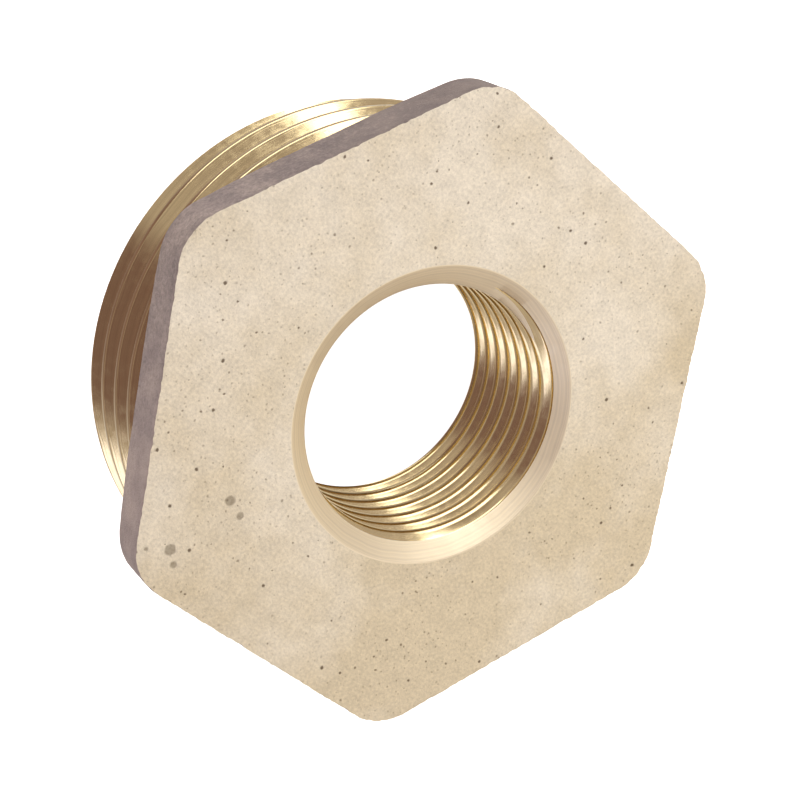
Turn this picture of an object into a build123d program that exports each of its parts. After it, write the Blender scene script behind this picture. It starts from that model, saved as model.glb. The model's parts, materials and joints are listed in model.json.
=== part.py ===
from build123d import *
from build123d.topology import SkipClean
from math import ceil
from math import cos
from math import radians
from math import tan
import os

# Hex reducing bushing, one piece of cast and turned brass, in millimetres.
# The axis is Z and the part stands on its male end, with the hexagonal head on top.
# The origin is the centre of the male end's face.

# Parallel pipe threads: major diameters and turns per inch of the 1 inch and 3/8 inch sizes
male_major_diameter = 33.249
male_turns_per_inch = 11
female_major_diameter = 16.662
female_turns_per_inch = 19
inch = 25.4

# Thread form: a 55 degree V, with flats where the standard has small roundings
flank_angle = 27.5
thread_height_share = 0.640327
root_flat_share = 1 / 6
groove_overrun = 0.1
crest_strips_per_turn = 8

# Head
head_thickness = 3.25
head_ledge = 0.63
head_corner_radius = 3.4
head_corner_chamfer = 0.45
head_corner_chamfer_angle = 15

# Shank and its male thread
overall_length = 14.6
male_end_chamfer = 1.55
relief_turns = 1
relief_undercut = 0.15
male_crest_height_at_x = 0.0

# Bore and its female thread
female_thread_height = 0.62
female_crest_height_at_x = 0.95
countersink_rim = 0.76
countersink_depth = 1.2

# Cored recess in the male end
recess_depth = 4.9
recess_wall = 2.9
recess_corner_chamfer = 0.9

# Sizes that follow from these
male_pitch = inch / male_turns_per_inch
female_pitch = inch / female_turns_per_inch
male_major_radius = male_major_diameter / 2
male_root_radius = male_major_radius - thread_height_share * male_pitch
female_major_radius = female_major_diameter / 2
bore_radius = female_major_radius - female_thread_height
across_flats = male_major_diameter + 2 * head_ledge
shoulder_height = overall_length - head_thickness
head_corner_reach = (across_flats / 2 - head_corner_radius) / cos(radians(30)) + head_corner_radius
corner_chamfer_start = head_corner_reach - head_corner_chamfer / tan(radians(head_corner_chamfer_angle))
relief_width = relief_turns * male_pitch
relief_radius = male_root_radius - relief_undercut
recess_radius = male_root_radius - recess_wall
countersink_radius = female_major_radius + countersink_rim


def segmented_disc(radius):
    """Make a disc with an edge of equal arcs, so that a thread's crest is faced in short strips."""
    arc = 360 / crest_strips_per_turn
    with BuildLine() as rim:
        for strip in range(crest_strips_per_turn):
            CenterArc((0, 0), radius, arc * strip, arc)
    return Face(Wire(rim.edges()))


def groove_turn(pitch, root_radius, mouth_radius):
    """Make one right-hand turn of a thread's V groove, which starts on +X at height zero."""
    depth = mouth_radius - root_radius
    half_root = root_flat_share * pitch / 2
    half_mouth = half_root + abs(depth) * tan(radians(flank_angle))
    with BuildPart() as groove:
        with BuildLine() as path:
            Helix(pitch, pitch, root_radius)
        with BuildSketch(Plane(path.line @ 0, x_dir=(1, 0, 0), z_dir=path.line % 0)):
            with BuildLine():
                Polyline(
                    (0, -half_root),
                    (depth, -half_mouth),
                    (depth, half_mouth),
                    (0, half_root),
                    close=True,
                )
            make_face()
        sweep(path=path.line, is_frenet=True)
    return groove.part


def turn_places(pitch, crest_height, first_height, turns):
    """Stack turns up from first_height, turned so that the crest crosses +X at crest_height."""
    start_angle = 360 * ((first_height - crest_height) / pitch - 0.5)
    return [Location((0, 0, first_height + turn * pitch), (0, 0, start_angle)) for turn in range(turns)]


# The male groove comes in from under the end face and ends in the middle of the relief
male_groove_end = shoulder_height - relief_width / 2
male_turns = ceil(male_groove_end / male_pitch) + 1
male_groove_turn = groove_turn(male_pitch, male_root_radius, male_major_radius + groove_overrun)
male_groove_places = turn_places(
    male_pitch, male_crest_height_at_x, male_groove_end - male_turns * male_pitch, male_turns
)

# The female groove starts in the open recess and ends past the head's face
female_groove_start = recess_depth - female_pitch
female_turns = ceil((overall_length - female_groove_start) / female_pitch) + 1
female_groove_turn = groove_turn(female_pitch, female_major_radius, bore_radius - groove_overrun)
female_groove_places = turn_places(
    female_pitch, female_crest_height_at_x, female_groove_start, female_turns
)

# Faces are not merged while this is built, so that the crest strips stay short
with SkipClean():
    with BuildPart() as hex_bushing:
        # Head: a hexagon with rounded corners
        with BuildSketch(Plane.XY.offset(shoulder_height)) as head_outline:
            RegularPolygon(across_flats / 2, 6, major_radius=False)
            fillet(head_outline.vertices(), head_corner_radius)
        extrude(amount=head_thickness)

        # The back of the head is turned off at its corners
        with BuildSketch(Plane.XZ):
            with BuildLine():
                Polyline(
                    (corner_chamfer_start, shoulder_height),
                    (head_corner_reach + head_corner_chamfer, shoulder_height),
                    (head_corner_reach + head_corner_chamfer, shoulder_height + head_corner_chamfer),
                    (head_corner_reach, shoulder_height + head_corner_chamfer),
                    close=True,
                )
            make_face()
        revolve(axis=Axis.Z, mode=Mode.SUBTRACT)

        # Shank
        extrude(segmented_disc(male_major_radius), amount=shoulder_height, clean=False)

        # Lead-in chamfer at the male end
        with BuildSketch(Plane.XZ):
            with BuildLine():
                Polyline(
                    (male_major_radius - male_end_chamfer, 0),
                    (male_major_radius, male_end_chamfer),
                    (male_major_radius + male_end_chamfer, 0),
                    close=True,
                )
            make_face()
        revolve(axis=Axis.Z, mode=Mode.SUBTRACT)

        # Relief turned behind the head, a little deeper than the thread
        with BuildSketch(Plane.XY.offset(shoulder_height - relief_width)):
            Circle(male_major_radius + groove_overrun)
            Circle(relief_radius, mode=Mode.SUBTRACT)
        extrude(amount=relief_width, mode=Mode.SUBTRACT)

        # Bore, straight through
        bore_disc = segmented_disc(bore_radius)
        extrude(bore_disc, amount=overall_length, clean=False, mode=Mode.SUBTRACT)

        # Countersink at the head's face
        with BuildSketch(Plane.XZ):
            with BuildLine():
                Polyline(
                    (0, overall_length),
                    (countersink_radius, overall_length),
                    (bore_radius, overall_length - countersink_depth),
                    (0, overall_length - countersink_depth),
                    close=True,
                )
            make_face()
        revolve(axis=Axis.Z, mode=Mode.SUBTRACT)

        # Cored recess in the male end, with a sloping corner at its ceiling
        with BuildSketch(Plane.XZ) as recess_half:
            Rectangle(recess_radius, recess_depth, align=Align.MIN)
            ceiling_corner = recess_half.vertices().group_by(Axis.Y)[-1].sort_by(Axis.X)[-1]
            chamfer(ceiling_corner, recess_corner_chamfer)
        revolve(axis=Axis.Z, mode=Mode.SUBTRACT)

        # Threads
        with Locations(male_groove_places):
            add(male_groove_turn, mode=Mode.SUBTRACT)
        with Locations(female_groove_places):
            add(female_groove_turn, mode=Mode.SUBTRACT)

hex_bushing.part.label = "hex_bushing"

os.makedirs("parts", exist_ok=True)
export_step(hex_bushing.part, "parts/hex_bushing.step")
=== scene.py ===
import json
import math

import bmesh
import bpy
from bpy.props import FloatProperty, FloatVectorProperty, PointerProperty
from mathutils import Matrix, Vector, noise


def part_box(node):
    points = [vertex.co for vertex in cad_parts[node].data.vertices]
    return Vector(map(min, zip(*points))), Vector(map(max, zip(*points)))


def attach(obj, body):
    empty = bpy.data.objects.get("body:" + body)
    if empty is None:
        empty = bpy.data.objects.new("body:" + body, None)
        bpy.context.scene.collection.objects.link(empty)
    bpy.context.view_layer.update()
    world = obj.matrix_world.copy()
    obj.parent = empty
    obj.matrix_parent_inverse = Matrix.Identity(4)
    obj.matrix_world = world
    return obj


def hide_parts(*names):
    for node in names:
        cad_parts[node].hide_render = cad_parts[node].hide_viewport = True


bl_info = {
    "name": "Hex reducing bushing",
    "version": (1, 0, 0),
    "blender": (4, 5, 0),
    "location": "View3D > Sidebar > Bushing",
    "description": "Cast and turned brass hex bushing, with its studio",
    "category": "Object",
}

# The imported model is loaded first, so that the sizes below can start from it
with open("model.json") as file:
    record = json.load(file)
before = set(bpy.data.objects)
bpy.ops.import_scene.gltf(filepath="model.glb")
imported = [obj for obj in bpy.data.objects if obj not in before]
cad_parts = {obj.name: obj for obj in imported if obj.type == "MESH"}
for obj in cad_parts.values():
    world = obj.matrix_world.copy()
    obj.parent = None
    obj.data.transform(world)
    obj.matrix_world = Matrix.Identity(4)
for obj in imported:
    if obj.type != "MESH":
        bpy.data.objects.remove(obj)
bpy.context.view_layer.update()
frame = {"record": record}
mounts = {mount["name"]: mount for mount in frame["record"]["mounts"]}
lowest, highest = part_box("hex_bushing")

MM = 0.001
INCH = 25.4 * MM

# Points this near count as one, and points this near a cut lie on it
SAME = 1e-6
ON_CUT = 1e-9

# The piece's finishes, in the order of its material slots
FACE, CAST, TURNED, TAPPED, CORED, SUNK = range(6)

# Pipe thread: a 55 degree V whose flats are a sixth of the pitch wide, so half a flat is a twelfth
FLANK_ANGLE = math.radians(27.5)
THREAD_HEIGHT_SHARE = 0.640327
HALF_FLATS_IN_PITCH = 12

# How far each thread's corners are rounded off, and in how many steps
MALE_CREST_ROUNDING = 0.04 * MM
MALE_ROOT_ROUNDING = 0.12 * MM
FEMALE_CREST_ROUNDING = 0.23 * MM
FEMALE_ROOT_ROUNDING = 0.08 * MM
CREST_SEGMENTS = 5
ROOT_SEGMENTS = 2

# How far below the end face the male thread starts, so that the lead-in chamfer can cut it
MALE_RUN_IN = 1.5 * MM

# Roundings of the countersink's rim and of the recess's mouth
RIM_ROUNDING = 0.06 * MM
MOUTH_ROUNDING = 0.12 * MM

# Height of a ring of vertices in the recess's wall, which keeps its faces short
RECESS_WALL_RING = 2.2 * MM

# Steps round plain rings and one thread turn, and across a corner, a side and the head's height
ROUND_STEPS = 360
MALE_STEPS = 160
FEMALE_STEPS = 144
CORNER_STEPS = 20
SIDE_STEPS = 94
ROW_STEPS = 16

# Strips of the face and of the shoulder that run round the head's edges
FACE_STRIP = 0.35 * MM
SHOULDER_STRIP = 0.25 * MM

# Casting skin, in millimetres: its mean depth, then the depth and closeness of two unevennesses
SKIN_DEPTH = 0.01
SKIN_COARSE, SKIN_COARSE_SCALE = 0.016, 0.9
SKIN_FINE, SKIN_FINE_SCALE = 0.012, 2.4

# Its ragged front edge: the height that it takes up, then its depth and closeness in millimetres
RAGGED_HEIGHT = 0.22 * MM
RAGGED_DEPTH, RAGGED_UNEVEN, RAGGED_SCALE = 0.02, 0.09, 3.1
RAGGED_OFFSET = Vector((5, 0, 0))

# Edges sharper than this stay sharp in the shading
SHARP_ANGLE = math.radians(38)

# Larger sand holes in the face, near its lower left corner: x, y and radius in millimetres
SAND_HOLES = (
    (-9.1, -14.75, 0.33),
    (-8.37, -15.37, 0.2),
    (-7.85, -10.64, 0.3),
    (-6.75, -11.04, 0.22),
    (-10.36, -15.41, 0.12),
)

# How far the places of pores and sand holes are shaken, in millimetres
SHAKE = 0.14

# Soft boxes as the bushing sees them: azimuth, elevation, width and height in degrees,
# the brightness that a mirror would show, colour, turn in degrees, and shape
SOFT_BOXES = (
    ("face_light", 6, 60, 48, 48, 0.76, "#FFFFFF", 0, "ELLIPSE"),
    ("window", 133, 11, 58, 68, 2.6, "#FFFFFF", 0, "RECTANGLE"),
    ("window_top", 90, 55, 12, 9, 2.5, "#FFFFFF", 0, "RECTANGLE"),
    ("window_corner", 107, 44, 10, 10, 3.0, "#FFFFFF", 0, "RECTANGLE"),
    ("side_light", 272, 26, 13, 60, 1.9, "#DCE0FF", 8, "RECTANGLE"),
)
LIGHT_DISTANCE = 0.35
LIGHT_TARGET = Vector((0, 0, 0.01))

# The studio's walls as the brass mirrors them, and the patches on them: the way to each patch,
# the cosines off that way at which it starts and is full, and its colour
WALL_COLOUR = "#BFB5B4"
WALL_PATCHES = (
    # Behind the camera, where both threads look darkest
    ((-0.43, -0.38, 0.82), 0.9, 0.96, "#826A6A"),
    # Low beside the bushing, mirrored in the male thread's crests
    ((-0.75, -0.35, -0.56), 0.55, 0.85, "#8A716E"),
    # High beside the camera, mirrored between the bore's bright patches
    ((-0.16, 0.29, 0.945), 0.93, 0.985, "#8E7F76"),
    # Low beyond the bushing and pale, mirrored in the countersink's near side
    ((0.93, 0.0, -0.35), 0.2, 0.85, "#FFF6E8"),
)

# White paper floor
FLOOR_RADIUS = 1.5
FLOOR_STEPS = 64

# The camera was fitted to the photo's outlines: sensor and lens in millimetres, place in metres
SENSOR_WIDTH = 36.0
LENS_LENGTH = 87.78
CLIP_START, CLIP_END = 0.01, 10.0
CAMERA_PLACE = (-0.062624, -0.002478, 0.109105)
CAMERA_TURN = (
    (0.67599234, -0.50642506, -0.53532047),
    (0.59015457, 0.80708322, -0.01828287),
    (0.44130707, -0.30356275, 0.84445114),
)


def linear(hex_colour):
    """An sRGB hex colour as linear red, green, blue and alpha."""
    parts = [int(hex_colour[i:i + 2], 16) / 255 for i in (1, 3, 5)]
    return (*[c / 12.92 if c <= 0.04045 else ((c + 0.055) / 1.055) ** 2.4 for c in parts], 1.0)


class BushingSizes(bpy.types.PropertyGroup):
    """Sizes of the bushing that a user would change."""

    overall_length: FloatProperty(
        name="Overall length", description="From the male end to the head's face",
        default=highest.z - lowest.z, unit="LENGTH", subtype="DISTANCE")
    across_flats: FloatProperty(
        name="Across flats", description="Width of the hexagon between two opposite sides",
        default=highest.y - lowest.y, unit="LENGTH", subtype="DISTANCE")
    head_thickness: FloatProperty(
        name="Head thickness", description="Height of the hexagonal head",
        default=3.25 * MM, unit="LENGTH", subtype="DISTANCE")
    corner_radius: FloatProperty(
        name="Corner radius", description="Rounding of the hexagon's six corners",
        default=3.4 * MM, unit="LENGTH", subtype="DISTANCE")
    corner_chamfer: FloatProperty(
        name="Corner chamfer", description="Height turned off the back of the head at its corners",
        default=0.45 * MM, unit="LENGTH", subtype="DISTANCE")
    corner_chamfer_angle: FloatProperty(
        name="Corner chamfer angle", description="Slope of the chamfer at the head's corners",
        default=math.radians(15), unit="ROTATION", subtype="ANGLE")
    male_radius: FloatProperty(
        name="Male thread radius", description="Half of the male thread's major diameter",
        default=mounts["male_thread"]["dims"]["r_mm"] * MM, unit="LENGTH", subtype="DISTANCE")
    male_turns_per_inch: FloatProperty(
        name="Male turns per inch", description="Turns of the male thread in one inch",
        default=11)
    male_end_chamfer: FloatProperty(
        name="Male end chamfer", description="Lead-in chamfer at the male end",
        default=1.55 * MM, unit="LENGTH", subtype="DISTANCE")
    relief_depth: FloatProperty(
        name="Relief depth", description="Depth of the relief behind the head, under the root",
        default=0.15 * MM, unit="LENGTH", subtype="DISTANCE")
    bore_radius: FloatProperty(
        name="Bore radius", description="Radius at the female thread's crests",
        default=mounts["female_thread"]["dims"]["r_mm"] * MM, unit="LENGTH", subtype="DISTANCE")
    female_thread_height: FloatProperty(
        name="Female thread height", description="Depth of the female thread's groove",
        default=0.62 * MM, unit="LENGTH", subtype="DISTANCE")
    female_turns_per_inch: FloatProperty(
        name="Female turns per inch", description="Turns of the female thread in one inch",
        default=19)
    female_crest_height: FloatProperty(
        name="Female crest height", description="Where the female crest crosses the X axis",
        default=0.95 * MM, unit="LENGTH", subtype="DISTANCE")
    countersink_radius: FloatProperty(
        name="Countersink radius", description="Radius of the countersink at the head's face",
        default=9.091 * MM, unit="LENGTH", subtype="DISTANCE")
    countersink_depth: FloatProperty(
        name="Countersink depth", description="Where the countersink meets the bore's crests",
        default=1.2 * MM, unit="LENGTH", subtype="DISTANCE")
    recess_radius: FloatProperty(
        name="Recess radius", description="Radius of the cored recess in the male end",
        default=12.246 * MM, unit="LENGTH", subtype="DISTANCE")
    recess_depth: FloatProperty(
        name="Recess depth", description="Depth of the cored recess in the male end",
        default=4.9 * MM, unit="LENGTH", subtype="DISTANCE")
    recess_corner: FloatProperty(
        name="Recess corner", description="Slope in the corner of the recess's ceiling",
        default=0.9 * MM, unit="LENGTH", subtype="DISTANCE")


class BushingFinishes(bpy.types.PropertyGroup):
    """Colours of the bushing's surfaces and of the floor."""

    face_colour: FloatVectorProperty(
        name="Head face", description="Linished brass of the head's face",
        size=4, subtype="COLOR", min=0, max=1, default=linear("#ECE3CF"))
    cast_colour: FloatVectorProperty(
        name="Cast skin", description="Tarnished casting skin of the hexagon's sides",
        size=4, subtype="COLOR", min=0, max=1, default=linear("#827570"))
    turned_colour: FloatVectorProperty(
        name="Turned brass", description="Bright brass of the male thread",
        size=4, subtype="COLOR", min=0, max=1, default=linear("#E4D0A0"))
    tapped_colour: FloatVectorProperty(
        name="Tapped brass", description="Paler brass of the female thread",
        size=4, subtype="COLOR", min=0, max=1, default=linear("#E8D4A4"))
    sunk_colour: FloatVectorProperty(
        name="Countersink", description="Brass of the countersink, dulled by the belt",
        size=4, subtype="COLOR", min=0, max=1, default=linear("#F0E2C4"))
    floor_colour: FloatVectorProperty(
        name="Floor", description="White paper sweep",
        size=4, subtype="COLOR", min=0, max=1, default=linear("#FFFFFF"))


def male_pitch(sizes):
    """Height of one turn of the male thread."""
    return INCH / sizes.male_turns_per_inch


def male_root(sizes):
    """Radius at the male thread's root."""
    return sizes.male_radius - THREAD_HEIGHT_SHARE * male_pitch(sizes)


def shoulder_height(sizes):
    """Height of the head's back over the male end."""
    return sizes.overall_length - sizes.head_thickness


def countersink_slope(sizes):
    """Height that the countersink's cone gains for each step outwards."""
    return sizes.countersink_depth / (sizes.countersink_radius - sizes.bore_radius)


def edges_at(verts):
    """The edges that join these vertices to each other."""
    chosen = set(verts)
    return list({edge for vert in chosen for edge in vert.link_edges if set(edge.verts) <= chosen})


def open_edges(bm):
    """The edges that have a face on one side only."""
    return [edge for edge in bm.edges if len(edge.link_faces) == 1]


def turned_ring(bm, radius, height):
    """A circle of edges about the axis."""
    made = bmesh.ops.create_circle(
        bm, cap_ends=False, segments=ROUND_STEPS, radius=radius,
        matrix=Matrix.Translation((0, 0, height)))
    return edges_at(made["verts"])


def extrude_strip(bm, edges, finish):
    """Extrude edges into faces with this finish, and return the new vertices."""
    made = bmesh.ops.extrude_edge_only(bm, edges=edges)["geom"]
    for part in made:
        if isinstance(part, bmesh.types.BMFace):
            part.material_index = finish
    return [part for part in made if isinstance(part, bmesh.types.BMVert)]


def turn_on(bm, edges, stations, finish):
    """Extrude a circle of edges through (radius, height) stations, and return the last circle."""
    radius, height = stations[0]
    for next_radius, next_height in stations[1:]:
        verts = extrude_strip(bm, edges, finish)
        share = next_radius / radius
        bmesh.ops.scale(bm, vec=(share, share, 1), verts=verts)
        bmesh.ops.translate(bm, vec=(0, 0, next_height - height), verts=verts)
        edges = edges_at(verts)
        radius, height = next_radius, next_height
    return edges


def fill_between(bm, edges, finish):
    """Fill a level ring between an outer and an inner loop of edges."""
    made = bmesh.ops.triangle_fill(
        bm, edges=edges, use_beauty=True, use_dissolve=False, normal=(0, 0, 1))
    for part in made["geom"]:
        if isinstance(part, bmesh.types.BMFace):
            part.material_index = finish


def cut_level(bm, height, above):
    """Cut everything at a level, clear away what is above or below, and return the cut's edges."""
    made = bmesh.ops.bisect_plane(
        bm, geom=list(bm.verts) + list(bm.edges) + list(bm.faces), dist=ON_CUT,
        plane_co=(0, 0, height), plane_no=(0, 0, 1), clear_outer=above, clear_inner=not above)
    return [part for part in made["geom_cut"] if isinstance(part, bmesh.types.BMEdge)]


def lean(bm, slope, radius):
    """Shear every vertex along the axis, so that a cone through this radius becomes level."""
    for vert in bm.verts:
        vert.co.z += slope * (math.hypot(vert.co.x, vert.co.y) - radius)


def thread(profile, crest_rounding, root_rounding, pitch, crest_height, first, last, steps, finish):
    """A right-hand thread from first to last height and a little past both.

    The profile runs from root to root over one crest, and turns into the thread in one spin."""
    bm = bmesh.new()
    turns = math.ceil((last - first) / pitch) + 2
    start = (math.floor((first - crest_height) / pitch) - 1) * pitch + crest_height - pitch / 2
    verts = [bm.verts.new((radius, 0, start + pitch / 2 + height)) for radius, height in profile]
    for pair in zip(verts, verts[1:]):
        bm.edges.new(pair)
    crest_corners, root_corners = verts[2:4], verts[1:5:3]
    for corners, rounding, segments in (
            (crest_corners, crest_rounding, CREST_SEGMENTS),
            (root_corners, root_rounding, ROOT_SEGMENTS)):
        bmesh.ops.bevel(
            bm, geom=corners, affect="VERTICES", offset_type="ABSOLUTE", offset=rounding,
            segments=segments, profile=0.5, material=-1)
    bmesh.ops.spin(
        bm, geom=list(bm.verts) + list(bm.edges), cent=(0, 0, 0), axis=(0, 0, 1),
        dvec=(0, 0, pitch), angle=0, steps=turns, use_merge=False, use_duplicate=True)
    bmesh.ops.remove_doubles(bm, verts=bm.verts, dist=SAME)
    bmesh.ops.spin(
        bm, geom=list(bm.verts) + list(bm.edges), cent=(0, 0, 0), axis=(0, 0, 1),
        dvec=(0, 0, pitch / steps), angle=math.tau, steps=steps, use_merge=False,
        use_duplicate=False)
    bmesh.ops.remove_doubles(bm, verts=bm.verts, dist=SAME)
    for face in bm.faces:
        face.material_index = finish
    return bm


def add_into(target, source):
    """Add one bmesh to another."""
    mesh = bpy.data.meshes.new("part")
    source.to_mesh(mesh)
    source.free()
    target.from_mesh(mesh)
    bpy.data.meshes.remove(mesh)


def male_thread(sizes):
    """The male thread with its lead-in chamfer and the wall of the relief."""
    pitch, root = male_pitch(sizes), male_root(sizes)
    top = shoulder_height(sizes) - pitch
    half_flat = pitch / HALF_FLATS_IN_PITCH
    profile = [
        (root, -pitch / 2), (root, -pitch / 2 + half_flat), (sizes.male_radius, -half_flat),
        (sizes.male_radius, half_flat), (root, pitch / 2 - half_flat), (root, pitch / 2)]
    bm = thread(
        profile, MALE_CREST_ROUNDING, MALE_ROOT_ROUNDING, pitch, 0, -MALE_RUN_IN, top,
        MALE_STEPS, TURNED)

    # The relief's wall
    cut = cut_level(bm, top, True)
    fill_between(bm, cut + turned_ring(bm, root - sizes.relief_depth, top), TURNED)

    # The lead-in chamfer is cut level while the thread leans
    chamfer_root = sizes.male_radius - sizes.male_end_chamfer
    lean(bm, -1, chamfer_root)
    cut = cut_level(bm, 0, False)
    fill_between(bm, cut + turned_ring(bm, chamfer_root, 0), TURNED)
    lean(bm, 1, chamfer_root)
    return bm


def female_thread(sizes):
    """The female thread with its countersink and the ceiling of the recess."""
    pitch = INCH / sizes.female_turns_per_inch
    groove = sizes.bore_radius + sizes.female_thread_height
    half_groove = pitch / HALF_FLATS_IN_PITCH
    half_mouth = half_groove + sizes.female_thread_height * math.tan(FLANK_ANGLE)
    profile = [
        (groove, -pitch / 2), (groove, -pitch / 2 + half_groove),
        (sizes.bore_radius, -pitch / 2 + half_mouth), (sizes.bore_radius, pitch / 2 - half_mouth),
        (groove, pitch / 2 - half_groove), (groove, pitch / 2)]
    bm = thread(
        profile, FEMALE_CREST_ROUNDING, FEMALE_ROOT_ROUNDING, pitch, sizes.female_crest_height,
        sizes.recess_depth, sizes.overall_length + pitch, FEMALE_STEPS, TAPPED)

    # The recess's ceiling
    cut = cut_level(bm, sizes.recess_depth, False)
    ceiling = turned_ring(bm, sizes.recess_radius - sizes.recess_corner, sizes.recess_depth)
    fill_between(bm, cut + ceiling, CORED)

    # The countersink is cut level while the thread leans
    slope = countersink_slope(sizes)
    lean(bm, -slope, sizes.countersink_radius)
    cut = cut_level(bm, sizes.overall_length, True)
    cone_top = turned_ring(bm, sizes.countersink_radius - RIM_ROUNDING, sizes.overall_length)
    fill_between(bm, cut + cone_top, SUNK)
    lean(bm, slope, sizes.countersink_radius)
    return bm


def add_turned_rings(bm, sizes):
    """Add the relief's floor, the recess's wall, the end face and the countersink's rim."""
    # The relief behind the head, up to the shoulder
    relief = male_root(sizes) - sizes.relief_depth
    shoulder = shoulder_height(sizes)
    relief_start = shoulder - male_pitch(sizes)
    turn_on(
        bm, turned_ring(bm, relief, relief_start), [(relief, relief_start), (relief, shoulder)],
        TURNED)

    # The recess's wall and the end face, with a rounding between them
    recess = sizes.recess_radius
    ceiling = recess - sizes.recess_corner
    ring = turn_on(
        bm, turned_ring(bm, ceiling, sizes.recess_depth),
        [(ceiling, sizes.recess_depth), (recess, sizes.recess_depth - sizes.recess_corner),
         (recess, RECESS_WALL_RING), (recess, MOUTH_ROUNDING)], CORED)
    turn_on(
        bm, ring,
        [(recess, MOUTH_ROUNDING), (recess + MOUTH_ROUNDING / 3, MOUTH_ROUNDING / 4),
         (recess + MOUTH_ROUNDING, 0), (sizes.male_radius - sizes.male_end_chamfer, 0)], TURNED)

    # The rounded rim of the countersink
    rim = sizes.countersink_radius
    cone_top = rim - RIM_ROUNDING
    cone_top_height = sizes.overall_length - RIM_ROUNDING * countersink_slope(sizes)
    turn_on(
        bm, turned_ring(bm, cone_top, cone_top_height),
        [(cone_top, cone_top_height), (rim, sizes.overall_length - RIM_ROUNDING / 5),
         (rim + RIM_ROUNDING, sizes.overall_length)], SUNK)


def skin_depth(point, face_height):
    """How deep the casting skin lies at a point of the head's sides, deepest at its front edge."""
    place = point / MM
    skin = (SKIN_DEPTH + SKIN_COARSE * noise.noise(place * SKIN_COARSE_SCALE)
            + SKIN_FINE * noise.noise(place * SKIN_FINE_SCALE))
    nearness = max(0.0, 1 - (face_height - point.z) / RAGGED_HEIGHT)
    uneven = noise.noise(place * RAGGED_SCALE + RAGGED_OFFSET)
    ragged = nearness * max(0.0, RAGGED_DEPTH + RAGGED_UNEVEN * uneven)
    return (max(0.0, skin) + ragged) * MM


def head_sides(sizes):
    """The head's cast sides, with narrow strips of the shoulder and the face at their edges."""
    shoulder = shoulder_height(sizes)
    corner_centre = (sizes.across_flats / 2 - sizes.corner_radius) / math.cos(math.radians(30))

    # One corner is spun from a point and copied round, and straight sides join the corners
    bm = bmesh.new()
    corner_start = Matrix.Rotation(math.radians(-30), 3, "Z") @ Vector((sizes.corner_radius, 0, 0))
    start = bm.verts.new(Vector((corner_centre, 0, shoulder)) + corner_start)
    bmesh.ops.spin(
        bm, geom=[start], cent=(corner_centre, 0, 0), axis=(0, 0, 1), angle=math.radians(60),
        steps=CORNER_STEPS, use_merge=False, use_duplicate=False)
    bmesh.ops.spin(
        bm, geom=list(bm.verts) + list(bm.edges), cent=(0, 0, 0), axis=(0, 0, 1),
        angle=math.radians(300), steps=5, use_merge=False, use_duplicate=True)
    ends = [vert for vert in bm.verts if len(vert.link_edges) == 1]
    ends.sort(key=lambda vert: math.atan2(vert.co.y, vert.co.x) % math.tau)
    sides = [bm.edges.new(pair) for pair in zip(ends[::2], ends[1::2])]
    bmesh.ops.subdivide_edges(bm, edges=sides, cuts=SIDE_STEPS)

    # The outline is raised to the face and cut into rows, so that the skin can be uneven
    base = bmesh.ops.contextual_create(bm, geom=list(bm.edges))["faces"]
    made = bmesh.ops.extrude_face_region(bm, geom=base, use_keep_orig=True)["geom"]
    top_verts = [part for part in made if isinstance(part, bmesh.types.BMVert)]
    bmesh.ops.translate(bm, vec=(0, 0, sizes.head_thickness), verts=top_verts)
    uprights = [edge for edge in bm.edges
                if abs(edge.verts[0].co.z - edge.verts[1].co.z) > sizes.head_thickness / 2]
    bmesh.ops.subdivide_edges(bm, edges=uprights, cuts=ROW_STEPS, use_grid_fill=True)
    caps = [face for face in bm.faces if len(face.verts) > 4]
    bmesh.ops.delete(bm, geom=caps, context="FACES_ONLY")
    for face in bm.faces:
        face.material_index = CAST

    # The turned chamfer lifts the back edge at the corners, and the rows above it follow
    slope = math.tan(sizes.corner_chamfer_angle)
    chamfer_start = corner_centre + sizes.corner_radius - sizes.corner_chamfer / slope
    for vert in bm.verts:
        rise = slope * max(0, vert.co.xy.length - chamfer_start)
        vert.co.z += rise * (sizes.overall_length - vert.co.z) / sizes.head_thickness

    # The chamfer and a strip of the face run round the edges, and take up their raggedness
    cast_verts = list(bm.verts)
    middle = shoulder + sizes.head_thickness / 2
    back = [edge for edge in open_edges(bm) if edge.verts[0].co.z < middle]
    front = [edge for edge in open_edges(bm) if edge.verts[0].co.z > middle]
    for vert in extrude_strip(bm, back, TURNED):
        reach = vert.co.xy.length
        inner = min(reach - SHOULDER_STRIP, chamfer_start)
        vert.co = Vector((vert.co.x * inner / reach, vert.co.y * inner / reach, shoulder))
    for vert in extrude_strip(bm, front, FACE):
        vert.co.xy *= 1 - FACE_STRIP / vert.co.xy.length

    # The casting skin is uneven, and the belt that cut the face left its edge ragged
    for vert in cast_verts:
        vert.co.xy *= 1 - skin_depth(vert.co, sizes.overall_length) / vert.co.xy.length
    return bm


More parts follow.
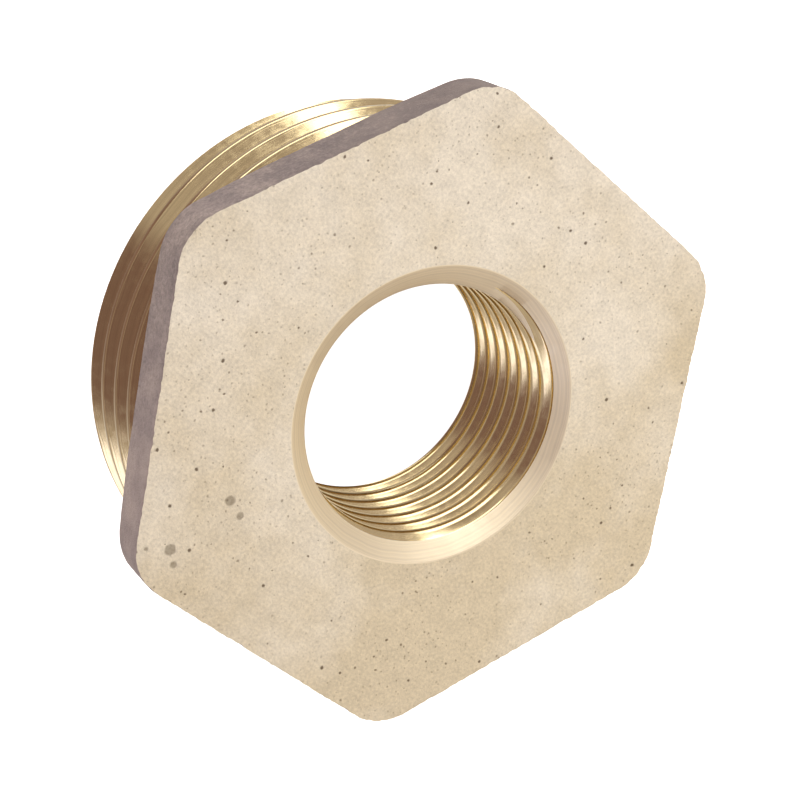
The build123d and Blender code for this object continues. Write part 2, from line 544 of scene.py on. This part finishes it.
def bushing_mesh(sizes):
    """The whole bushing as one closed mesh."""
    bm = bmesh.new()
    add_into(bm, male_thread(sizes))
    add_into(bm, female_thread(sizes))
    add_turned_rings(bm, sizes)
    add_into(bm, head_sides(sizes))

    # The head's face and its shoulder are filled level, each between an outer and an inner loop
    face_height, shoulder = sizes.overall_length, shoulder_height(sizes)
    relief = male_root(sizes) - sizes.relief_depth
    rim = sizes.countersink_radius + RIM_ROUNDING
    face_edges, shoulder_edges = [], []
    for edge in open_edges(bm):
        height, reach = edge.verts[0].co.z, edge.verts[0].co.xy.length
        if height > face_height - SAME and (reach > sizes.male_radius or abs(reach - rim) < SAME):
            face_edges.append(edge)
        if abs(height - shoulder) < SAME and (reach > sizes.male_radius or reach < relief + SAME):
            shoulder_edges.append(edge)
    fill_between(bm, face_edges, FACE)
    fill_between(bm, shoulder_edges, TURNED)

    bmesh.ops.remove_doubles(bm, verts=bm.verts, dist=SAME)
    bmesh.ops.recalc_face_normals(bm, faces=bm.faces)
    torn = [edge for edge in bm.edges if not edge.is_manifold]
    if torn:
        raise RuntimeError(f"the bushing isn't closed at {len(torn)} edges")
    return bm


def add(tree, kind, links=None, **settings):
    """Add a node with its settings, and with its inputs set or linked."""
    node = tree.nodes.new(kind)
    for name, value in settings.items():
        setattr(node, name, value)
    for name, value in (links or {}).items():
        if isinstance(value, bpy.types.NodeSocket):
            tree.links.new(value, node.inputs[name])
        else:
            node.inputs[name].default_value = value
    return node


def new_material(name):
    """An empty node material, with its tree, shader and millimetre coordinates."""
    material = bpy.data.materials.new(name)
    material.use_nodes = True
    tree = material.node_tree
    tree.nodes.clear()
    shader = add(tree, "ShaderNodeBsdfPrincipled")
    add(tree, "ShaderNodeOutputMaterial", {"Surface": shader.outputs["BSDF"]})
    place = add(tree, "ShaderNodeTexCoord")
    per_metre = 1 / MM
    millimetres = add(tree, "ShaderNodeMapping", {
        "Vector": place.outputs["Object"], "Scale": (per_metre, per_metre, per_metre)})
    return material, tree, shader, millimetres.outputs["Vector"]


def pits(tree, place, scale, share, largest, draw_from):
    """Round pits in a share of the cells of a flat face.

    Scale is in cells per millimetre and largest is a pit's radius in millimetres. Each cell
    draws its pit's size from one channel of its colour, and a pit's edge is 0.03 mm soft."""
    cells = add(tree, "ShaderNodeTexVoronoi", {
        "Vector": place, "Scale": scale, "Randomness": 1.0}, voronoi_dimensions="2D")
    draw = add(tree, "ShaderNodeSeparateColor", {"Color": cells.outputs["Color"]})
    soft = 0.03 * scale
    reach = add(tree, "ShaderNodeMapRange", {
        "Value": draw.outputs[draw_from], "From Min": 1 - share,
        "To Min": -soft, "To Max": largest * scale})
    inside = add(tree, "ShaderNodeMath", {
        0: reach.outputs["Result"], 1: cells.outputs["Distance"]}, operation="SUBTRACT")
    depth = add(tree, "ShaderNodeMapRange", {
        "Value": inside.outputs["Value"], "From Min": -soft, "From Max": soft})
    return depth.outputs["Result"]


def linished_brass(colour, face_height):
    """Cast brass linished flat on a belt, which leaves it pale and open with small pores.

    Face height is in millimetres."""
    material, tree, shader, mm = new_material("linished_cast_brass")
    shader.inputs["Metallic"].default_value = 0.8

    # Broad cloudy tone, about 8 mm across, and a painted light gradient that makes the face paler
    # toward one side
    clouds = add(tree, "ShaderNodeTexNoise", {
        "Vector": mm, "Scale": 0.12, "Detail": 4.0, "Roughness": 0.55})
    painted_light_across = add(tree, "ShaderNodeVectorMath", {
        0: mm, 1: (-0.0057, 0.0082, 0.0)}, operation="DOT_PRODUCT")
    tone = add(tree, "ShaderNodeMath", {
        0: clouds.outputs["Fac"], 1: painted_light_across.outputs["Value"]}, operation="ADD")
    ramp = add(tree, "ShaderNodeValToRGB", {"Fac": tone.outputs["Value"]})
    darker, paler = ramp.color_ramp.elements
    darker.position, darker.color = 0.34, linear("#DACCAE")
    paler.position, paler.color = 0.66, colour

    # Mottling about 1 mm across, and the belt's sandy grain, drawn 0.2 mm coarse so that it shows
    mottle = add(tree, "ShaderNodeTexNoise", {
        "Vector": mm, "Scale": 0.9, "Detail": 3.0, "Roughness": 0.6})
    grain = add(tree, "ShaderNodeTexNoise", {
        "Vector": mm, "Scale": 5.0, "Detail": 3.0, "Roughness": 0.7})
    both = add(tree, "ShaderNodeMath", {
        0: mottle.outputs["Fac"], 1: 0.4, 2: grain.outputs["Fac"]}, operation="MULTIPLY_ADD")
    shade = add(tree, "ShaderNodeMapRange", {
        "Value": both.outputs["Value"], "From Min": 0.5, "From Max": 0.9,
        "To Min": 0.83, "To Max": 1.1})
    grained = add(tree, "ShaderNodeMix", {
        "Factor": 1.0, 6: ramp.outputs["Color"], 7: shade.outputs["Result"]},
        data_type="RGBA", blend_type="MULTIPLY")

    # A fine noise shakes the places of pores and holes, so that none is a neat disc
    shake = add(tree, "ShaderNodeTexNoise", {"Vector": mm, "Scale": 5.0, "Detail": 2.0})
    shaken = add(tree, "ShaderNodeVectorMath", {
        0: shake.outputs["Color"], 1: (SHAKE, SHAKE, 0.0), 2: mm}, operation="MULTIPLY_ADD")
    place = shaken.outputs["Vector"]

    # Pores of three sizes. The small ones lie thicker in some parts of the face.
    coarse = pits(tree, place, 0.75, 0.2, 0.11, "Red")
    middle = pits(tree, place, 1.9, 0.16, 0.075, "Green")
    fine = pits(tree, place, 3.0, 0.5, 0.06, "Blue")
    faint = add(tree, "ShaderNodeMath", {0: fine, 1: 0.55}, operation="MULTIPLY")
    small = add(tree, "ShaderNodeMath", {
        0: middle, 1: faint.outputs["Value"]}, operation="MAXIMUM")
    spread = add(tree, "ShaderNodeTexNoise", {"Vector": mm, "Scale": 0.16, "Detail": 2.0})
    thick = add(tree, "ShaderNodeMapRange", {
        "Value": spread.outputs["Fac"], "From Min": 0.35, "From Max": 0.65,
        "To Min": 0.3, "To Max": 1.0})
    scattered = add(tree, "ShaderNodeMath", {
        0: small.outputs["Value"], 1: thick.outputs["Result"]}, operation="MULTIPLY")
    pore = add(tree, "ShaderNodeMath", {
        0: scattered.outputs["Value"], 1: coarse}, operation="MAXIMUM")

    # A few larger sand holes near one edge. The shaking moves them by half of its reach.
    hole = None
    for x, y, radius in SAND_HOLES:
        away = add(tree, "ShaderNodeVectorMath", {
            0: place, 1: (x + SHAKE / 2, y + SHAKE / 2, face_height)}, operation="DISTANCE")
        one = add(tree, "ShaderNodeMapRange", {
            "Value": away.outputs["Value"], "From Min": radius + 0.05, "From Max": radius - 0.05})
        if hole:
            one = add(tree, "ShaderNodeMath", {
                0: one.outputs[0], 1: hole.outputs[0]}, operation="MAXIMUM")
        hole = one

    # The sand holes are speckled dark with the grain, and the pores are darkened
    hole_speckles = add(tree, "ShaderNodeMath", {
        0: hole.outputs[0], 1: grain.outputs["Fac"]}, operation="MULTIPLY")
    speckled = add(tree, "ShaderNodeMix", {
        "Factor": hole_speckles.outputs["Value"], 6: grained.outputs[2], 7: linear("#5A4A30")},
        data_type="RGBA")
    dark = add(tree, "ShaderNodeMath", {
        0: pore.outputs["Value"], 1: 0.72}, operation="MULTIPLY")
    coloured = add(tree, "ShaderNodeMix", {
        "Factor": dark.outputs["Value"], 6: speckled.outputs[2], 7: linear("#5E4B35")},
        data_type="RGBA")
    tree.links.new(coloured.outputs[2], shader.inputs["Base Color"])
    rough = add(tree, "ShaderNodeMapRange", {
        "Value": pore.outputs["Value"], "To Min": 0.45, "To Max": 0.8})
    tree.links.new(rough.outputs["Result"], shader.inputs["Roughness"])

    # Pores and holes sink into the grain
    sunk = add(tree, "ShaderNodeMath", {
        0: pore.outputs["Value"], 1: hole.outputs[0]}, operation="MAXIMUM")
    height = add(tree, "ShaderNodeMath", {
        0: sunk.outputs["Value"], 1: -0.8, 2: grain.outputs["Fac"]}, operation="MULTIPLY_ADD")
    bump = add(tree, "ShaderNodeBump", {
        "Height": height.outputs["Value"], "Strength": 0.35, "Distance": 0.05 * MM})
    tree.links.new(bump.outputs["Normal"], shader.inputs["Normal"])
    return material


def cast_skin(colour, name):
    """Sand-cast brass left as cast, tarnished to a dull mauve grey and sandy to the touch."""
    material, tree, shader, mm = new_material(name)
    shader.inputs["Metallic"].default_value = 0.3
    shader.inputs["Roughness"].default_value = 0.7

    # The mould's sand, about 0.25 mm, and painted shade that darkens the sides a little toward +Y
    sand = add(tree, "ShaderNodeTexNoise", {
        "Vector": mm, "Scale": 4.0, "Detail": 4.0, "Roughness": 0.75})
    painted_shade_aside = add(tree, "ShaderNodeVectorMath", {
        0: mm, 1: (0.0, -0.016, 0.0)}, operation="DOT_PRODUCT")
    sand_and_painted_shade = add(tree, "ShaderNodeMath", {
        0: sand.outputs["Fac"], 1: painted_shade_aside.outputs["Value"]}, operation="ADD")
    shade = add(tree, "ShaderNodeMapRange", {
        "Value": sand_and_painted_shade.outputs["Value"], "From Min": 0.32, "From Max": 0.68,
        "To Min": 0.7, "To Max": 1.26})

    # Warmer patches about 2 mm across
    tint = add(tree, "ShaderNodeTexNoise", {"Vector": mm, "Scale": 0.55, "Detail": 3.0})
    warm = add(tree, "ShaderNodeMapRange", {
        "Value": tint.outputs["Fac"], "From Min": 0.4, "From Max": 0.65})
    base = add(tree, "ShaderNodeMix", {
        "Factor": warm.outputs["Result"], 6: colour, 7: linear("#93857D")}, data_type="RGBA")
    shaded = add(tree, "ShaderNodeMix", {
        "Factor": 1.0, 6: base.outputs[2], 7: shade.outputs["Result"]},
        data_type="RGBA", blend_type="MULTIPLY")
    tree.links.new(shaded.outputs[2], shader.inputs["Base Color"])
    bump = add(tree, "ShaderNodeBump", {
        "Height": sand.outputs["Fac"], "Strength": 0.9, "Distance": 0.1 * MM})
    tree.links.new(bump.outputs["Normal"], shader.inputs["Normal"])
    return material


def turned_brass(colour, name, roughness, mark_depth, metallic=1.0):
    """Brass cut on a lathe, bright, with fine tool marks that run round the axis."""
    material, tree, shader, mm = new_material(name)
    shader.inputs["Metallic"].default_value = metallic

    # Tool marks: rings about 0.15 mm apart that follow the radius and wander a little
    flat = add(tree, "ShaderNodeVectorMath", {0: mm, 1: (1, 1, 0)}, operation="MULTIPLY")
    radius = add(tree, "ShaderNodeVectorMath", {0: flat.outputs["Vector"]}, operation="LENGTH")
    wander = add(tree, "ShaderNodeTexNoise", {"Vector": mm, "Scale": 0.25, "Detail": 2.0})
    ring = add(tree, "ShaderNodeMath", {
        0: wander.outputs["Fac"], 1: 0.35, 2: radius.outputs["Value"]}, operation="MULTIPLY_ADD")
    marks = add(tree, "ShaderNodeTexNoise", {
        "W": ring.outputs["Value"], "Scale": 7.0, "Detail": 3.0, "Roughness": 0.6},
        noise_dimensions="1D")
    shade = add(tree, "ShaderNodeMapRange", {
        "Value": marks.outputs["Fac"], "From Min": 0.3, "From Max": 0.7,
        "To Min": 0.88, "To Max": 1.06})
    shaded = add(tree, "ShaderNodeMix", {
        "Factor": 1.0, 6: colour, 7: shade.outputs["Result"]},
        data_type="RGBA", blend_type="MULTIPLY")
    tree.links.new(shaded.outputs[2], shader.inputs["Base Color"])

    # Patches about 0.6 mm across where the tool cut cleaner or tore
    patch = add(tree, "ShaderNodeTexNoise", {
        "Vector": mm, "Scale": 1.6, "Detail": 3.0, "Roughness": 0.6})
    rough = add(tree, "ShaderNodeMapRange", {
        "Value": patch.outputs["Fac"], "From Min": 0.3, "From Max": 0.7,
        "To Min": roughness - 0.05, "To Max": roughness + 0.07})
    tree.links.new(rough.outputs["Result"], shader.inputs["Roughness"])
    height = add(tree, "ShaderNodeMath", {
        0: patch.outputs["Fac"], 1: 0.4, 2: marks.outputs["Fac"]}, operation="MULTIPLY_ADD")
    bump = add(tree, "ShaderNodeBump", {
        "Height": height.outputs["Value"], "Strength": mark_depth, "Distance": 0.04 * MM})
    tree.links.new(bump.outputs["Normal"], shader.inputs["Normal"])
    return material


def soft_box(name, azimuth, elevation, width, height, brightness, colour, turn, shape):
    """A soft box that faces the bushing, with the power that gives it this brightness."""
    light = bpy.data.lights.new(name, "AREA")
    light.shape = shape
    light.size = 2 * LIGHT_DISTANCE * math.tan(math.radians(width / 2))
    light.size_y = 2 * LIGHT_DISTANCE * math.tan(math.radians(height / 2))
    area = light.size * light.size_y * (math.pi / 4 if shape == "ELLIPSE" else 1)
    light.energy = brightness * math.pi * area
    light.color = linear(colour)[:3]
    holder = bpy.data.objects.new(name, light)
    azimuth, elevation = math.radians(azimuth), math.radians(elevation)
    away = Vector((
        math.cos(azimuth) * math.cos(elevation), math.sin(azimuth) * math.cos(elevation),
        math.sin(elevation)))
    holder.location = away * LIGHT_DISTANCE + LIGHT_TARGET
    holder.rotation_mode = "QUATERNION"
    spin = Matrix.Rotation(math.radians(turn), 3, "Z").to_quaternion()
    holder.rotation_quaternion = away.to_track_quat("Z", "Y") @ spin
    holder.visible_camera = False
    bpy.context.scene.collection.objects.link(holder)


def studio_world():
    """White to the camera, and the walls of a studio in reflections."""
    world = bpy.data.worlds.new("studio")
    world.use_nodes = True
    tree = world.node_tree
    tree.nodes.clear()
    way = add(tree, "ShaderNodeTexCoord").outputs["Generated"]
    tone = linear(WALL_COLOUR)
    for direction, start, end, colour in WALL_PATCHES:
        toward = add(tree, "ShaderNodeVectorMath", {
            0: way, 1: Vector(direction).normalized()}, operation="DOT_PRODUCT")
        share = add(tree, "ShaderNodeMapRange", {
            "Value": toward.outputs["Value"], "From Min": start, "From Max": end},
            interpolation_type="SMOOTHSTEP")
        mixed = add(tree, "ShaderNodeMix", {
            "Factor": share.outputs["Result"], 6: tone, 7: linear(colour)}, data_type="RGBA")
        tone = mixed.outputs[2]
    path = add(tree, "ShaderNodeLightPath")
    seen = add(tree, "ShaderNodeMix", {
        "Factor": path.outputs["Is Camera Ray"], 6: tone, 7: linear("#FFFFFF")},
        data_type="RGBA")
    background = add(tree, "ShaderNodeBackground", {"Color": seen.outputs[2], "Strength": 1.0})
    add(tree, "ShaderNodeOutputWorld", {"Surface": background.outputs["Background"]})
    return world


def photo_camera():
    """The camera at the photo's viewing angle."""
    lens = bpy.data.cameras.new("photo_camera")
    lens.sensor_fit = "HORIZONTAL"
    lens.sensor_width = SENSOR_WIDTH
    lens.lens = LENS_LENGTH
    lens.clip_start, lens.clip_end = CLIP_START, CLIP_END
    camera = bpy.data.objects.new("photo_camera", lens)
    camera.matrix_world = Matrix.Translation(CAMERA_PLACE) @ Matrix(CAMERA_TURN).to_4x4()
    return camera


class BUSHING_OT_body(bpy.types.Operator):
    """Make the cast and turned brass bushing"""

    bl_idname = "bushing.body"
    bl_label = "Hex bushing"
    bl_options = {"REGISTER", "UNDO"}

    def execute(self, context):
        sizes, finishes = context.scene.bushing_sizes, context.scene.bushing_finishes
        bm = bushing_mesh(sizes)
        mesh = bpy.data.meshes.new("hex_bushing_brass")
        bm.to_mesh(mesh)
        bm.free()

        # In the order of FACE, CAST, TURNED, TAPPED, CORED and SUNK
        for material in (
                linished_brass(finishes.face_colour, sizes.overall_length / MM),
                cast_skin(finishes.cast_colour, "sand_cast_brass_skin"),
                turned_brass(finishes.turned_colour, "turned_brass", 0.14, 0.08),
                turned_brass(finishes.tapped_colour, "tapped_brass", 0.19, 0.05),
                cast_skin(finishes.cast_colour, "cored_brass_skin"),
                turned_brass(finishes.sunk_colour, "countersunk_brass", 0.5, 0.25, 0.65)):
            mesh.materials.append(material)
        mesh.set_sharp_from_angle(angle=SHARP_ANGLE)
        for polygon in mesh.polygons:
            polygon.use_smooth = True
        piece = bpy.data.objects.new("hex_bushing_brass", mesh)
        context.scene.collection.objects.link(piece)

        # The larger faces rule the shading, so that plane flanks reflect as planes
        flanks = piece.modifiers.new("plane_flanks", "WEIGHTED_NORMAL")
        flanks.keep_sharp = True
        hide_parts("hex_bushing")
        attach(piece, "root")
        return {"FINISHED"}


class BUSHING_OT_stage(bpy.types.Operator):
    """Make the floor, the lights, the world and the camera"""

    bl_idname = "bushing.stage"
    bl_label = "Stage"
    bl_options = {"REGISTER", "UNDO"}

    def execute(self, context):
        scene = context.scene
        colour = scene.bushing_finishes.floor_colour

        # White paper, lit from behind, so that it stays white under the bushing
        bm = bmesh.new()
        bmesh.ops.create_circle(bm, cap_ends=True, segments=FLOOR_STEPS, radius=FLOOR_RADIUS)
        mesh = bpy.data.meshes.new("floor")
        bm.to_mesh(mesh)
        bm.free()
        paper = bpy.data.materials.new("backlit_white_paper")
        paper.use_nodes = True
        shader = paper.node_tree.nodes["Principled BSDF"]
        shader.inputs["Base Color"].default_value = colour
        shader.inputs["Roughness"].default_value = 0.9
        shader.inputs["Emission Color"].default_value = colour
        shader.inputs["Emission Strength"].default_value = 1.0
        mesh.materials.append(paper)
        floor = bpy.data.objects.new("floor", mesh)
        floor.visible_glossy = False
        scene.collection.objects.link(floor)

        scene.world = studio_world()
        for box in SOFT_BOXES:
            soft_box(*box)

        camera = photo_camera()
        scene.collection.objects.link(camera)
        scene.camera = camera
        scene.view_settings.view_transform = "Standard"
        scene.view_settings.look = "None"
        return {"FINISHED"}


class BUSHING_PT_panel(bpy.types.Panel):
    """The bushing's sizes, finishes and making steps"""

    bl_label = "Hex bushing"
    bl_idname = "BUSHING_PT_panel"
    bl_space_type = "VIEW_3D"
    bl_region_type = "UI"
    bl_category = "Bushing"

    def draw(self, context):
        for group in (context.scene.bushing_sizes, context.scene.bushing_finishes):
            box = self.layout.box()
            for name in group.__annotations__:
                box.prop(group, name)
        for operator in (BUSHING_OT_body, BUSHING_OT_stage):
            self.layout.operator(operator.bl_idname)


CLASSES = (BushingSizes, BushingFinishes, BUSHING_OT_body, BUSHING_OT_stage, BUSHING_PT_panel)


def register():
    for cls in CLASSES:
        bpy.utils.register_class(cls)
    bpy.types.Scene.bushing_sizes = PointerProperty(type=BushingSizes)
    bpy.types.Scene.bushing_finishes = PointerProperty(type=BushingFinishes)


def unregister():
    del bpy.types.Scene.bushing_finishes
    del bpy.types.Scene.bushing_sizes
    for cls in reversed(CLASSES):
        bpy.utils.unregister_class(cls)


def main():
    register()
    bpy.ops.bushing.body()
    bpy.ops.bushing.stage()


if __name__ == "__main__":
    main()
